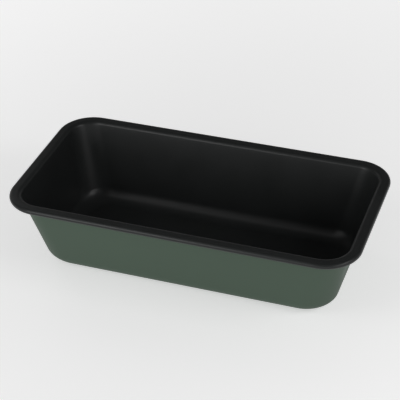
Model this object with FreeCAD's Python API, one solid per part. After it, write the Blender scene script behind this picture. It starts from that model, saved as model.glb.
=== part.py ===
import FreeCAD, Part
import math
import os

# Loaf pan: one drawn sheet of steel with a flat flange and a wired rim, coated inside and outside.
#
# Millimetres. The origin is the centre of the underside, +X runs along the pan, +Y across it, +Z up.
#
# The sheet is described by one cross-section, which runs all round the pan. A point of it is
# (inset, height, plan radius): how far it lies inside the rim's outermost edge, how high it lies
# above the underside, and the radius with which its line turns the pan's four corners.
# Depth is the distance through the sheet, from its outer face (0) to its inner face.

# Driving dimensions
rim_length = 300.0                  # over the rolled rim
rim_width = 157.0                   # over the rolled rim
pan_height = 71.0                   # underside to top of flange
rim_corner_radius = 30.5            # plan radius of the rim's outer edge
bead_radius = 2.5                   # outside radius of the rolled rim
curl_wrap = math.radians(285.0)     # turn of the sheet round the rim wire
curl_arcs = 3                       # arcs that make up that turn
wall_inset = 8.7                    # rim edge to outer wall face, both at flange height
wall_draft = math.radians(12.0)     # lean of all four walls
flange_bend_radius = 3.5            # inner face, between flange and wall
base_fillet_radius = 15.0           # outer face, between wall and base
base_corner_radius = 25.6           # plan radius of the outer wall, carried down to the base
floor_corner_radius = 20.0          # plan radius of the flat floor
steel_thickness = 0.6
coat_thickness = 0.1
wire_clearance = 0.05               # between the rim wire and the curl
wire_gap = 1.0                      # between the two ends of the rim wire
sewing_tolerance = 1e-5

# Depths of the faces between the layers
steel_outer_face = coat_thickness
steel_inner_face = coat_thickness + steel_thickness
sheet_thickness = 2 * coat_thickness + steel_thickness

# The two round corners of the cross-section, between flange and wall and between wall and base
bend_centre_inset = wall_inset + (
    sheet_thickness - flange_bend_radius * (1 - math.sin(wall_draft))
) / math.cos(wall_draft)
bend_centre_height = pan_height - flange_bend_radius
fillet_centre_inset = wall_inset + (
    base_fillet_radius + (pan_height - base_fillet_radius) * math.sin(wall_draft)
) / math.cos(wall_draft)
fillet_centre_height = base_fillet_radius
corner_weight = math.cos((math.pi / 2 - wall_draft) / 2)

quarter_circle = ((1.0, 0.0), (1.0, 1.0), (0.0, 1.0))
quarter_weights = (1.0, math.cos(math.pi / 4), 1.0)


def parallel_radius(inset):
    """Plan radius of a line that stays parallel to the rim's outer edge."""
    return rim_corner_radius - inset


def wall_point(height, depth):
    """A point of the straight wall, with a plan radius that grows evenly from flange to base."""
    flange_height = pan_height - sheet_thickness + depth
    slope = math.tan(wall_draft)
    offset = depth / math.cos(wall_draft)
    top_inset = wall_inset + offset + (pan_height - flange_height) * slope
    base_radius = base_corner_radius - offset + depth * slope
    drop = (flange_height - height) / (flange_height - depth)
    radius = parallel_radius(top_inset) * (1 - drop) + base_radius * drop
    return (wall_inset + offset + (pan_height - height) * slope, height, radius)


def curl_point(angle, radius):
    """A point at an angle round the rim wire: 0 faces outwards, a right angle faces up."""
    inset = bead_radius - radius * math.cos(angle)
    return (inset, pan_height - bead_radius + radius * math.sin(angle), parallel_radius(inset))


def curl(depth):
    """The rolled rim, from its free edge under the flange, round the wire, to the flange."""
    radius = bead_radius - sheet_thickness + depth
    half_step = curl_wrap / curl_arcs / 2
    arcs = []
    for step in range(curl_arcs):
        middle = math.pi / 2 - curl_wrap + (2 * step + 1) * half_step
        points = [
            curl_point(middle - half_step, radius),
            curl_point(middle, radius / math.cos(half_step)),
            curl_point(middle + half_step, radius),
        ]
        arcs.append((points, (1.0, math.cos(half_step), 1.0)))
    return arcs


def cross_section(depth):
    """The sheet's line at one depth, from the free edge of the curl to the edge of the flat floor.

    Each piece of it is (points, weights): two points of a straight line, or the two ends of an arc
    with the point between them where its end tangents meet.
    """
    flange_height = pan_height - sheet_thickness + depth
    bend_radius = flange_bend_radius - sheet_thickness + depth
    fillet_radius = base_fillet_radius - depth
    rise = math.sin(wall_draft)

    flange_start = (bead_radius, flange_height, parallel_radius(bead_radius))
    flange_end = (bend_centre_inset, flange_height, parallel_radius(bend_centre_inset))
    wall_top = wall_point(bend_centre_height + bend_radius * rise, depth)
    wall_foot = wall_point(fillet_centre_height - fillet_radius * rise, depth)
    floor_edge = (fillet_centre_inset, depth, floor_corner_radius)

    flange = ([flange_start, flange_end], (1.0, 1.0))
    bend = ([flange_end, wall_point(flange_height, depth), wall_top], (1.0, corner_weight, 1.0))
    wall = ([wall_top, wall_foot], (1.0, 1.0))
    fillet = ([wall_foot, wall_point(depth, depth), floor_edge], (1.0, corner_weight, 1.0))
    return curl(depth) + [flange, bend, wall, fillet]


def corner_points(point, along, across):
    """Control points of a plan corner's quarter circle; along and across are 1 or -1."""
    inset, height, radius = point
    centre_x = rim_length / 2 - inset - radius
    centre_y = rim_width / 2 - inset - radius
    return [
        FreeCAD.Vector(along * (centre_x + radius * x), across * (centre_y + radius * y), height)
        for x, y in quarter_circle
    ]


def patch(rows, row_weights, column_weights):
    """An exact curved face from rows of control points."""
    across_rows = len(rows) - 1
    along_rows = len(rows[0]) - 1
    surface = Part.BSplineSurface()
    surface.buildFromPolesMultsKnots(
        rows,
        [across_rows + 1] * 2,
        [along_rows + 1] * 2,
        [0.0, 1.0],
        [0.0, 1.0],
        False,
        False,
        across_rows,
        along_rows,
        [[row * column for column in column_weights] for row in row_weights],
    )
    return surface.toShape()


def ring_faces(piece):
    """Carry one piece of a cross-section all round the pan: four corners and four straight sides."""
    points, weights = piece
    corners = {
        (along, across): [corner_points(point, along, across) for point in points]
        for along in (1, -1)
        for across in (1, -1)
    }
    faces = [patch(rows, weights, quarter_weights) for rows in corners.values()]
    for side in (1, -1):
        ends = zip(corners[side, 1], corners[side, -1])
        faces.append(side_face([[first[0], second[0]] for first, second in ends], weights))
        long_sides = zip(corners[1, side], corners[-1, side])
        faces.append(side_face([[first[2], second[2]] for first, second in long_sides], weights))
    return faces


def side_face(rows, weights):
    """One straight side of a ring: flat where the cross-section is straight."""
    if len(rows) > 2:
        return patch(rows, weights, (1.0, 1.0))
    (first, second), (fourth, third) = rows
    return Part.Face(Part.makePolygon([first, second, third, fourth, first]))


def rounded_rectangle(inset, height, radius):
    """The edges of a plan loop, in order, starting from the middle of the +Y side."""
    half_length = rim_length / 2 - inset
    half_width = rim_width / 2 - inset
    centre_x = half_length - radius
    centre_y = half_width - radius
    up = FreeCAD.Vector(0, 0, 1)
    edges = []
    turns = ((1, 1, 0), (-1, 1, 90), (-1, -1, 180), (1, -1, 270))
    last = FreeCAD.Vector(0, half_width, height)
    for along, across, start_angle in turns[1:] + turns[:1]:
        centre = FreeCAD.Vector(along * centre_x, across * centre_y, height)
        arc = Part.makeCircle(radius, centre, up, start_angle, start_angle + 90)
        edges.append(Part.makeLine(last, arc.firstVertex().Point))
        edges.append(arc)
        last = arc.lastVertex().Point
    edges.append(Part.makeLine(last, FreeCAD.Vector(0, half_width, height)))
    return edges


def closed_solid(faces):
    """Sew faces into one solid whose faces look outwards."""
    skin = Part.Compound(faces)
    skin.sewShape(sewing_tolerance)
    solid = Part.Solid(skin.Shells[0])
    if solid.Volume < 0:
        solid.reverse()
    return solid


def sheet_layer(outer_depth, inner_depth):
    """One layer of the sheet, over the whole of the pan, from one depth to another."""
    outer = cross_section(outer_depth)
    inner = cross_section(inner_depth)
    free_edge = ([outer[0][0][0], inner[0][0][0]], (1.0, 1.0))
    faces = []
    for piece in outer + inner + [free_edge]:
        faces += ring_faces(piece)
    for line in (outer, inner):
        floor_edge = line[-1][0][-1]
        faces.append(Part.Face(Part.Wire(rounded_rectangle(*floor_edge))))
    return closed_solid(faces)


def rim_wire():
    """The round wire inside the rolled rim, with its two ends in the middle of the +Y side."""
    radius = bead_radius - sheet_thickness - wire_clearance
    height = pan_height - bead_radius
    edges = rounded_rectangle(bead_radius, height, parallel_radius(bead_radius))
    start = FreeCAD.Vector(-wire_gap / 2, rim_width / 2 - bead_radius, height)
    end = FreeCAD.Vector(wire_gap / 2, rim_width / 2 - bead_radius, height)
    edges[0] = Part.makeLine(start, edges[0].lastVertex().Point)
    edges[-1] = Part.makeLine(edges[-1].firstVertex().Point, end)
    section = Part.Wire(Part.makeCircle(radius, start, FreeCAD.Vector(1, 0, 0)))
    return Part.Wire(edges).makePipeShell([section], True, True)


nodes = {
    "outer_coat": sheet_layer(0.0, steel_outer_face),
    "steel_shell": sheet_layer(steel_outer_face, steel_inner_face),
    "nonstick_lining": sheet_layer(steel_inner_face, sheet_thickness),
    "rim_wire": rim_wire(),
}

os.makedirs("parts", exist_ok=True)
for name, shape in nodes.items():
    shape.exportStep("parts/" + name + ".step")
    box = shape.BoundBox
    print(name, shape.ShapeType, shape.isValid(), "faces", len(shape.Faces), "mm3", round(shape.Volume, 1))
    print("   box", [round(v, 3) for v in (box.XMin, box.YMin, box.ZMin, box.XMax, box.YMax, box.ZMax)])
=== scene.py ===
import math

import bmesh
import bpy
from mathutils import Matrix, Vector


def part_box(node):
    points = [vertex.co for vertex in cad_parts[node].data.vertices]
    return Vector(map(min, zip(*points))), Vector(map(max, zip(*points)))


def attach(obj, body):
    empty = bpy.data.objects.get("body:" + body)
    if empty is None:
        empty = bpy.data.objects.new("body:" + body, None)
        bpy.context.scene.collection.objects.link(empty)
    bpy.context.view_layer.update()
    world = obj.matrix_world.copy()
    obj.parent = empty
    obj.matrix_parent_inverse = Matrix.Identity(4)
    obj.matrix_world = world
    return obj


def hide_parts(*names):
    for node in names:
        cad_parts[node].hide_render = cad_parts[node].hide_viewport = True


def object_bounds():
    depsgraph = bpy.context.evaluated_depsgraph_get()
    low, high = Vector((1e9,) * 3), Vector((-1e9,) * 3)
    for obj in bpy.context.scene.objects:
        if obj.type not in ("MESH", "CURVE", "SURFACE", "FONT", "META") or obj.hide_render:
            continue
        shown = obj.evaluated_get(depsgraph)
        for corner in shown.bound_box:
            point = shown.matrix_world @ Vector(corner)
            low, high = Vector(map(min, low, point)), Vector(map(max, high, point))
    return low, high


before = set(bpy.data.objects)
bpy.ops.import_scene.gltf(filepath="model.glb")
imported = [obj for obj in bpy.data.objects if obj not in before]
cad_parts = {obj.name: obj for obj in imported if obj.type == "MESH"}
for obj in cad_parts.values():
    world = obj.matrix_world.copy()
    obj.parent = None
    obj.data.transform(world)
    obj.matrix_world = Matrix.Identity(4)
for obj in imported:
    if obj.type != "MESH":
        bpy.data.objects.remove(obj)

# Loaf pan, in metres and in the CAD frame: +X along the pan, +Y across it, +Z up, with the origin
# under its middle.
#
# The sheet is one cross-section carried all round the pan. A point of it is (inset, height, plan
# radius): how far it lies inside the rim's outer edge, how high it lies, and the radius with which
# its line turns the pan's corners. Depth is the distance through the sheet from its outer face.

MM = 0.001
cad_low, cad_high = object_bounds()

# Sizes read from the frame
lining_low, lining_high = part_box("nonstick_lining")
wire_low, wire_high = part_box("rim_wire")
RIM_LENGTH = lining_high.x - lining_low.x
RIM_WIDTH = lining_high.y - lining_low.y
PAN_HEIGHT = lining_high.z
STEEL_OUTER_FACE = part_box("steel_shell")[0].z
STEEL_INNER_FACE = lining_low.z
SHEET = STEEL_INNER_FACE + STEEL_OUTER_FACE
WIRE_RADIUS = (wire_high.z - wire_low.z) / 2
WIRE_HEIGHT = (wire_high.z + wire_low.z) / 2
BEAD_RADIUS = PAN_HEIGHT - WIRE_HEIGHT

# Sizes that a box doesn't show
RIM_CORNER_RADIUS = 30.5 * MM
CURL_WRAP = math.radians(285)
WALL_INSET = 8.7 * MM
WALL_DRAFT = math.radians(12)
FLANGE_BEND_RADIUS = 3.5 * MM
BASE_FILLET_RADIUS = 15 * MM
BASE_CORNER_RADIUS = 25.6 * MM
FLOOR_CORNER_RADIUS = 20 * MM
WIRE_GAP = 1 * MM  # at the butt of its two ends

# How finely the meshes follow the shape
CURL_ARCS = 3
CURL_STEPS = 12
FLANGE_STEPS = 4
BEND_STEPS = 12
WALL_STEPS = 12
FILLET_STEPS = 20
CORNER_STEPS = 28
LONG_SIDE_STEPS = 24
SHORT_SIDE_STEPS = 12
WIRE_SIDES = 24
SHARP_ANGLE = math.radians(60)

BEND_INSET = WALL_INSET + (
    SHEET - FLANGE_BEND_RADIUS * (1 - math.sin(WALL_DRAFT))
) / math.cos(WALL_DRAFT)
FILLET_INSET = WALL_INSET + (
    BASE_FILLET_RADIUS + (PAN_HEIGHT - BASE_FILLET_RADIUS) * math.sin(WALL_DRAFT)
) / math.cos(WALL_DRAFT)
CORNER_WEIGHT = math.cos((math.pi / 2 - WALL_DRAFT) / 2)


# ---- The sheet's cross-section ----

def parallel_radius(inset):
    """Plan radius of a line parallel to the rim's outer edge."""
    return RIM_CORNER_RADIUS - inset


def wall_point(height, depth):
    """A point of the straight wall, with a plan radius that grows evenly from flange to base."""
    flange_height = PAN_HEIGHT - SHEET + depth
    slope = math.tan(WALL_DRAFT)
    offset = depth / math.cos(WALL_DRAFT)
    top_inset = WALL_INSET + offset + (PAN_HEIGHT - flange_height) * slope
    base_radius = BASE_CORNER_RADIUS - offset + depth * slope
    drop = (flange_height - height) / (flange_height - depth)
    radius = parallel_radius(top_inset) * (1 - drop) + base_radius * drop
    return (WALL_INSET + offset + (PAN_HEIGHT - height) * slope, height, radius)


def curl_point(angle, radius):
    """A point round the rim wire: angle 0 faces outwards, a right angle faces up."""
    inset = BEAD_RADIUS - radius * math.cos(angle)
    return (inset, WIRE_HEIGHT + radius * math.sin(angle), parallel_radius(inset))


def straight(first, last, steps):
    """Evenly spaced points from first to last."""
    return [
        tuple(a + (b - a) * k / steps for a, b in zip(first, last))
        for k in range(steps + 1)
    ]


def arc(first, corner, last, weight, steps):
    """A circular arc between two points whose tangents meet in the corner."""
    points = []
    for k in range(steps + 1):
        t = k / steps
        shares = ((1 - t) ** 2, 2 * t * (1 - t) * weight, t**2)
        total = sum(shares)
        mix = (sum(s * v for s, v in zip(shares, values)) for values in zip(first, corner, last))
        points.append(tuple(v / total for v in mix))
    return points


def cross_section(depth):
    """The sheet's line at one depth, from the curl's free edge to the edge of the flat floor."""
    flange_height = PAN_HEIGHT - SHEET + depth
    bend_radius = FLANGE_BEND_RADIUS - SHEET + depth
    fillet_radius = BASE_FILLET_RADIUS - depth
    curl_radius = BEAD_RADIUS - SHEET + depth
    rise = math.sin(WALL_DRAFT)
    half_step = CURL_WRAP / CURL_ARCS / 2

    flange_start = (BEAD_RADIUS, flange_height, parallel_radius(BEAD_RADIUS))
    flange_end = (BEND_INSET, flange_height, parallel_radius(BEND_INSET))
    wall_top = wall_point(PAN_HEIGHT - FLANGE_BEND_RADIUS + bend_radius * rise, depth)
    wall_foot = wall_point(BASE_FILLET_RADIUS - fillet_radius * rise, depth)
    floor_edge = (FILLET_INSET, depth, FLOOR_CORNER_RADIUS)

    pieces = []
    for step in range(CURL_ARCS):
        middle = math.pi / 2 - CURL_WRAP + (2 * step + 1) * half_step
        pieces.append(arc(
            curl_point(middle - half_step, curl_radius),
            curl_point(middle, curl_radius / math.cos(half_step)),
            curl_point(middle + half_step, curl_radius),
            math.cos(half_step),
            CURL_STEPS,
        ))
    pieces.append(straight(flange_start, flange_end, FLANGE_STEPS))
    bend_corner = wall_point(flange_height, depth)
    pieces.append(arc(flange_end, bend_corner, wall_top, CORNER_WEIGHT, BEND_STEPS))
    pieces.append(straight(wall_top, wall_foot, WALL_STEPS))
    fillet_corner = wall_point(depth, depth)
    pieces.append(arc(wall_foot, fillet_corner, floor_edge, CORNER_WEIGHT, FILLET_STEPS))
    line = [pieces[0][0]]
    for piece in pieces:
        line += piece[1:]
    return line


# ---- Loops round the pan, and the meshes made from them ----

def plan_loop(inset, height, radius):
    """One closed loop round the pan, from the middle of the front right corner, anticlockwise."""
    half = Vector((RIM_LENGTH / 2 - inset, RIM_WIDTH / 2 - inset))
    turns = ((1, -1), (1, 1), (-1, 1), (-1, -1))
    sides = (SHORT_SIDE_STEPS, LONG_SIDE_STEPS, SHORT_SIDE_STEPS, LONG_SIDE_STEPS)
    points = []
    for quarter, (along, across) in enumerate(turns):
        centre = Vector((along * (half.x - radius), across * (half.y - radius)))
        start = math.radians(90 * quarter - 90)
        for k in range(CORNER_STEPS + 1):
            angle = start + math.radians(90) * k / CORNER_STEPS
            spoke = Vector((math.cos(angle), math.sin(angle)))
            points.append(centre + radius * spoke)
        along, across = turns[(quarter + 1) % 4]
        next_centre = Vector((along * (half.x - radius), across * (half.y - radius)))
        end = next_centre + radius * spoke
        last = points[-1]
        for k in range(1, sides[quarter]):
            points.append(last.lerp(end, k / sides[quarter]))
    first = CORNER_STEPS // 2
    return [Vector((p.x, p.y, height)) for p in points[first:] + points[:first]]


def bridge(mesh, lower, upper):
    """Quads between two closed loops with the same number of vertices."""
    count = len(lower)
    for k in range(count):
        after = (k + 1) % count
        mesh.faces.new((lower[k], lower[after], upper[after], upper[k]))


def fill_floor(mesh, loop, facing):
    """Fill a flat loop with a grid of quads whose corners are the middles of the loop's corners."""
    short = SHORT_SIDE_STEPS + CORNER_STEPS
    long = LONG_SIDE_STEPS + CORNER_STEPS
    right = loop[:short + 1]
    back = loop[short:short + long + 1][::-1]
    left = loop[short + long:2 * short + long + 1][::-1]
    front = loop[2 * short + long:] + loop[:1]
    grid = [[None] * (short + 1) for _ in range(long + 1)]
    for i in range(long + 1):
        u = i / long
        for j in range(short + 1):
            v = j / short
            if j == 0:
                grid[i][j] = front[i]
            elif j == short:
                grid[i][j] = back[i]
            elif i == 0:
                grid[i][j] = left[j]
            elif i == long:
                grid[i][j] = right[j]
            else:
                ruled = front[i].co.lerp(back[i].co, v) + left[j].co.lerp(right[j].co, u)
                corners = front[0].co.lerp(front[-1].co, u).lerp(back[0].co.lerp(back[-1].co, u), v)
                grid[i][j] = mesh.verts.new(ruled - corners)
    for i in range(long):
        for j in range(short):
            quad = [grid[i][j], grid[i + 1][j], grid[i + 1][j + 1], grid[i][j + 1]]
            mesh.faces.new(quad if facing > 0 else quad[::-1])


def finish_mesh(name, mesh):
    """Turn a bmesh into a smooth-shaded object in the scene."""
    bmesh.ops.recalc_face_normals(mesh, faces=mesh.faces)
    data = bpy.data.meshes.new(name)
    mesh.to_mesh(data)
    mesh.free()
    data.shade_smooth()
    piece = bpy.data.objects.new(name, data)
    bpy.context.scene.collection.objects.link(piece)
    return piece


def sheet_layer(name, outer_depth, inner_depth):
    """One layer of the sheet over the whole pan, as a closed mesh."""
    mesh = bmesh.new()
    skins = []
    for depth in (outer_depth, inner_depth):
        loops = [
            [mesh.verts.new(p) for p in plan_loop(*point)] for point in cross_section(depth)
        ]
        for lower, upper in zip(loops, loops[1:]):
            bridge(mesh, lower, upper)
        skins.append(loops)
    outer, inner = skins
    bridge(mesh, outer[0], inner[0])
    fill_floor(mesh, outer[-1], -1)
    fill_floor(mesh, inner[-1], 1)
    piece = finish_mesh(name, mesh)
    sharp_edges(piece)
    return piece


def sharp_edges(piece):
    """Keep sheared edges and cut ends crisp."""
    data = piece.data
    mesh = bmesh.new()
    mesh.from_mesh(data)
    for edge in mesh.edges:
        if len(edge.link_faces) == 2 and edge.calc_face_angle() > SHARP_ANGLE:
            edge.smooth = False
    mesh.to_mesh(data)
    mesh.free()


def rim_wire(name):
    """The wire inside the rolled rim, cut in the middle of the back side."""
    centre_line = plan_loop(BEAD_RADIUS, WIRE_HEIGHT, parallel_radius(BEAD_RADIUS))
    cut = min(range(len(centre_line)), key=lambda k: abs(centre_line[k].x) - centre_line[k].y)
    path = centre_line[cut:] + centre_line[:cut]
    back = path[0].y
    path[0] = Vector((-WIRE_GAP / 2, back, WIRE_HEIGHT))
    path.append(Vector((WIRE_GAP / 2, back, WIRE_HEIGHT)))
    mesh = bmesh.new()
    rings = []
    for k, point in enumerate(path):
        before = path[max(k - 1, 0)]
        after = path[min(k + 1, len(path) - 1)]
        side = (after - before).normalized().cross(Vector((0, 0, 1)))
        ring = []
        for step in range(WIRE_SIDES):
            angle = 2 * math.pi * step / WIRE_SIDES
            spoke = side * math.cos(angle) + Vector((0, 0, math.sin(angle)))
            ring.append(mesh.verts.new(point + WIRE_RADIUS * spoke))
        rings.append(ring)
    for first, second in zip(rings, rings[1:]):
        bridge(mesh, first, second)
    mesh.faces.new(rings[0][::-1])
    mesh.faces.new(rings[-1])
    piece = finish_mesh(name, mesh)
    sharp_edges(piece)
    return piece


# ---- Materials ----

# A noise lies mostly between these two values
NOISE_LOW = 0.3
NOISE_HIGH = 0.7

COATING_GRAIN_SIZE = 0.4 * MM
COATING_GRAIN_HEIGHT = 0.0015 * MM
COATING_GRAIN_SHARE = 1 / 3
STEEL_GRAIN_SIZE = 0.3 * MM
STEEL_DARK_SHARE = 0.8
STEEL_ROUGHNESS_SPREAD = 0.06


def new_material(name):
    """A material with its nodes, its links and its one shader."""
    material = bpy.data.materials.new(name)
    material.use_nodes = True
    nodes = material.node_tree.nodes
    links = material.node_tree.links
    shader = nodes["Principled BSDF"]
    return material, nodes, links, shader


def noise(nodes, links, place, size, detail):
    """A noise texture whose features are about this size, in metres."""
    texture = nodes.new("ShaderNodeTexNoise")
    texture.inputs["Scale"].default_value = 1 / size
    texture.inputs["Detail"].default_value = detail
    links.new(place, texture.inputs["Vector"])
    return texture.outputs["Fac"]


def spread(nodes, links, value, low, high):
    """Map a noise value to a range."""
    mapping = nodes.new("ShaderNodeMapRange")
    mapping.inputs["From Min"].default_value = NOISE_LOW
    mapping.inputs["From Max"].default_value = NOISE_HIGH
    mapping.inputs["To Min"].default_value = low
    mapping.inputs["To Max"].default_value = high
    links.new(value, mapping.inputs["Value"])
    return mapping.outputs["Result"]


def tint(nodes, links, value, dark, light):
    """Blend two colours by a noise value."""
    ramp = nodes.new("ShaderNodeValToRGB")
    ramp.color_ramp.elements[0].position = NOISE_LOW
    ramp.color_ramp.elements[0].color = (*dark, 1)
    ramp.color_ramp.elements[1].position = NOISE_HIGH
    ramp.color_ramp.elements[1].color = (*light, 1)
    links.new(value, ramp.inputs["Fac"])
    return ramp.outputs["Color"]


def relief(nodes, links, shader, layers):
    """Give the surface relief from several noises, each with its height in metres."""
    previous = None
    for value, height in layers:
        layer = nodes.new("ShaderNodeBump")
        layer.inputs["Distance"].default_value = height
        links.new(value, layer.inputs["Height"])
        if previous:
            links.new(previous, layer.inputs["Normal"])
        previous = layer.outputs["Normal"]
    links.new(previous, shader.inputs["Normal"])


def mottle(nodes, links, cloud, grain):
    """A broad noise with a share of a fine one."""
    blend = nodes.new("ShaderNodeMix")
    blend.inputs["Factor"].default_value = COATING_GRAIN_SHARE
    links.new(cloud, blend.inputs["A"])
    links.new(grain, blend.inputs["B"])
    return blend.outputs["Result"]


def coating(name, cloud_size, peel_size, peel_height, dark, light, smooth, rough, ior):
    """A coating with broad mottling, a faint orange peel and a fine grain."""
    material, nodes, links, shader = new_material(name)
    place = nodes.new("ShaderNodeTexCoord").outputs["Object"]
    cloud = noise(nodes, links, place, cloud_size, detail=3)
    peel = noise(nodes, links, place, peel_size, detail=1)
    grain = noise(nodes, links, place, COATING_GRAIN_SIZE, detail=2)
    patches = mottle(nodes, links, cloud, grain)
    links.new(tint(nodes, links, patches, dark, light), shader.inputs["Base Color"])
    links.new(spread(nodes, links, patches, smooth, rough), shader.inputs["Roughness"])
    relief(nodes, links, shader, ((peel, peel_height), (grain, COATING_GRAIN_HEIGHT)))
    shader.inputs["IOR"].default_value = ior
    return material


def black_nonstick():
    """The satin lining."""
    return coating(
        "black_nonstick",
        cloud_size=30 * MM, peel_size=1.8 * MM, peel_height=0.004 * MM,
        dark=(0.0131, 0.0142, 0.0141), light=(0.0165, 0.0178, 0.0178),
        smooth=0.31, rough=0.37, ior=1.29,
    )


def green_coat():
    """The matte outside."""
    return coating(
        "green_coat",
        cloud_size=40 * MM, peel_size=2.2 * MM, peel_height=0.005 * MM,
        dark=(0.0436, 0.0678, 0.0477), light=(0.0467, 0.0728, 0.0513),
        smooth=0.56, rough=0.64, ior=1.35,
    )


def steel(name, colour, roughness):
    """Bare steel with a fine grain."""
    material, nodes, links, shader = new_material(name)
    place = nodes.new("ShaderNodeTexCoord").outputs["Object"]
    grain = noise(nodes, links, place, STEEL_GRAIN_SIZE, detail=3)
    dark = tuple(STEEL_DARK_SHARE * value for value in colour)
    links.new(tint(nodes, links, grain, dark, colour), shader.inputs["Base Color"])
    smooth, rough = roughness - STEEL_ROUGHNESS_SPREAD, roughness + STEEL_ROUGHNESS_SPREAD
    links.new(spread(nodes, links, grain, smooth, rough), shader.inputs["Roughness"])
    shader.inputs["Metallic"].default_value = 1
    return material


# ---- The pan ----

def dress(piece, node, material):
    """Stand a piece in for its CAD node, on the one body, in its record's material slot."""
    piece.data.materials.append(material)
    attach(piece, "root")
    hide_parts(node)
    return piece


PAN = (
    dress(sheet_layer("outer_coat_skin", 0, STEEL_OUTER_FACE),
          "outer_coat", green_coat()),
    dress(sheet_layer("steel_sheet", STEEL_OUTER_FACE, STEEL_INNER_FACE),
          "steel_shell", steel("bare_steel", (0.50, 0.50, 0.50), 0.35)),
    dress(sheet_layer("nonstick_skin", STEEL_INNER_FACE, SHEET),
          "nonstick_lining", black_nonstick()),
    dress(rim_wire("rim_wire_loop"),
          "rim_wire", steel("wire_steel", (0.42, 0.42, 0.43), 0.30)),
)


# ---- Floor, lights and camera ----

LIGHT_AIM = Vector((0, 0, 0.04))
LIGHT_DISTANCE = 0.8
# A light below this elevation, in degrees, lights only the pan, as it would burn out the floor
LOW_LIGHT = 30
# Name, azimuth and elevation in degrees, width and depth in metres, power in watts
LIGHTS = (
    ("key", -25, 18, 0.30, 0.25, 1.63),
    ("key_low", -22, 5, 0.50, 0.14, 0.56),
    ("front", -8, 16, 0.30, 0.25, 0.29),
    ("front_low", 20, 5, 0.50, 0.14, 0.44),
    ("front_high", -22, 40, 0.30, 0.30, 0.08),
    ("left", -45, 36, 0.30, 0.30, 0.42),
    ("left_high", -30, 56, 0.35, 0.30, 0.26),
    ("right", 80, 34, 0.30, 0.30, 1.18),
    ("right_low", 62, 20, 0.35, 0.25, 1.01),
    ("back_left", -120, 34, 0.35, 0.30, 0.27),
)
# Half the floor's side, and its glow at each distance from its middle, in metres
FLOOR_REACH = 4.0
FLOOR_GLOW = ((0.10, 0.53), (0.55, 0.70), (1.2, 0.68), (3.0, 0.42))
FLOOR_CLOUD_SIZE = 0.6
FLOOR_DARK = (0.80, 0.80, 0.80)
FLOOR_LIGHT = (0.82, 0.82, 0.82)
# The backdrop's greys, by the sine of their elevation
BACKDROP = ((0.09, 0.62), (0.22, 0.10))


def make_floor():
    """A pale card that glows a little, so that it comes out evenly pale."""
    mesh = bmesh.new()
    bmesh.ops.create_grid(mesh, x_segments=1, y_segments=1, size=FLOOR_REACH)
    floor = finish_mesh("floor", mesh)
    floor.location.z = cad_low.z
    material, nodes, links, shader = new_material("floor_card")
    place = nodes.new("ShaderNodeTexCoord").outputs["Object"]
    cloud = noise(nodes, links, place, FLOOR_CLOUD_SIZE, detail=2)
    links.new(tint(nodes, links, cloud, FLOOR_DARK, FLOOR_LIGHT), shader.inputs["Base Color"])
    shader.inputs["Roughness"].default_value = 0.9
    shader.inputs["Specular IOR Level"].default_value = 0.1
    shader.inputs["Emission Color"].default_value = (1, 1, 1, 1)
    distance = nodes.new("ShaderNodeVectorMath")
    distance.operation = "LENGTH"
    links.new(place, distance.inputs[0])
    share = nodes.new("ShaderNodeMath")
    share.operation = "DIVIDE"
    share.inputs[1].default_value = FLOOR_REACH
    links.new(distance.outputs["Value"], share.inputs[0])
    glow = nodes.new("ShaderNodeValToRGB")
    stops = glow.color_ramp.elements
    for metres, _ in FLOOR_GLOW[1:-1]:
        stops.new(metres / FLOOR_REACH)
    for stop, (metres, strength) in zip(stops, FLOOR_GLOW):
        stop.position = metres / FLOOR_REACH
        stop.color = (strength, strength, strength, 1)
    links.new(share.outputs["Value"], glow.inputs["Fac"])
    links.new(glow.outputs["Color"], shader.inputs["Emission Strength"])
    floor.data.materials.append(material)


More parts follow.
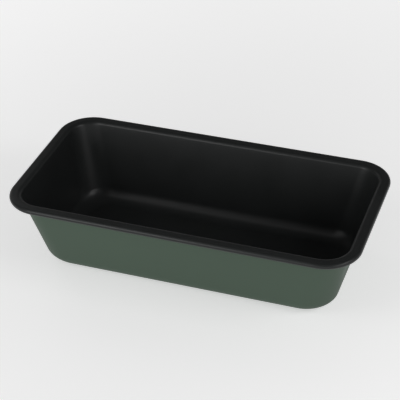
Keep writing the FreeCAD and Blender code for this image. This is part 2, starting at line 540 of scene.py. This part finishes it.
def area_light(name, azimuth, elevation, width, depth, power, pan_only):
    """A softbox aimed at the pan. Azimuth 0 is straight in front of it, and turns to the right."""
    data = bpy.data.lights.new(name, "AREA")
    data.shape = "RECTANGLE"
    data.size = width
    data.size_y = depth
    data.energy = power
    light = bpy.data.objects.new(name, data)
    around, up = math.radians(azimuth), math.radians(elevation)
    outwards = Vector((
        math.sin(around) * math.cos(up),
        -math.cos(around) * math.cos(up),
        math.sin(up),
    ))
    light.location = LIGHT_AIM + LIGHT_DISTANCE * outwards
    light.rotation_mode = "QUATERNION"
    light.rotation_quaternion = (-outwards).to_track_quat("-Z", "Y")
    light.visible_camera = False
    if elevation < LOW_LIGHT:
        light.light_linking.receiver_collection = pan_only
    bpy.context.scene.collection.objects.link(light)


def make_world():
    """A backdrop that is pale at the horizon, where it carries the floor on, and dim above."""
    world = bpy.data.worlds.new("studio")
    world.use_nodes = True
    bpy.context.scene.world = world
    nodes = world.node_tree.nodes
    links = world.node_tree.links
    background = nodes["Background"]
    place = nodes.new("ShaderNodeTexCoord").outputs["Generated"]
    split = nodes.new("ShaderNodeSeparateXYZ")
    links.new(place, split.inputs["Vector"])
    ramp = nodes.new("ShaderNodeValToRGB")
    for stop, (height, grey) in zip(ramp.color_ramp.elements, BACKDROP):
        stop.position = height
        stop.color = (grey, grey, grey, 1)
    links.new(split.outputs["Z"], ramp.inputs["Fac"])
    links.new(ramp.outputs["Color"], background.inputs["Color"])
    background.inputs["Strength"].default_value = 1.0


def make_camera():
    """The camera stands in front, to the right and above. It looks past the middle of the pan."""
    azimuth = math.radians(19.85)
    elevation = math.radians(34.17)
    roll = math.radians(-1.30)
    distance = 1.17602
    step_right = -0.00177
    step_up = 0.04583
    back = Vector((
        math.sin(azimuth) * math.cos(elevation),
        -math.cos(azimuth) * math.cos(elevation),
        math.sin(elevation),
    ))
    level_right = Vector((math.cos(azimuth), math.sin(azimuth), 0))
    level_up = back.cross(level_right)
    right = math.cos(roll) * level_right + math.sin(roll) * level_up
    up = back.cross(right)
    data = bpy.data.cameras.new("camera")
    data.lens = 122.53
    data.sensor_width = 36
    data.clip_start = 0.01
    data.clip_end = 100
    camera = bpy.data.objects.new("camera", data)
    turn = Matrix((right, up, back)).transposed().to_4x4()
    stand = back * distance + right * step_right + up * step_up
    camera.matrix_world = Matrix.Translation(stand) @ turn
    bpy.context.scene.collection.objects.link(camera)
    bpy.context.scene.camera = camera


make_floor()
make_world()
lit_pieces = bpy.data.collections.new("pan_only")
for piece in PAN:
    lit_pieces.objects.link(piece)
for row in LIGHTS:
    area_light(*row, lit_pieces)
make_camera()
bpy.context.scene.view_settings.view_transform = "Standard"
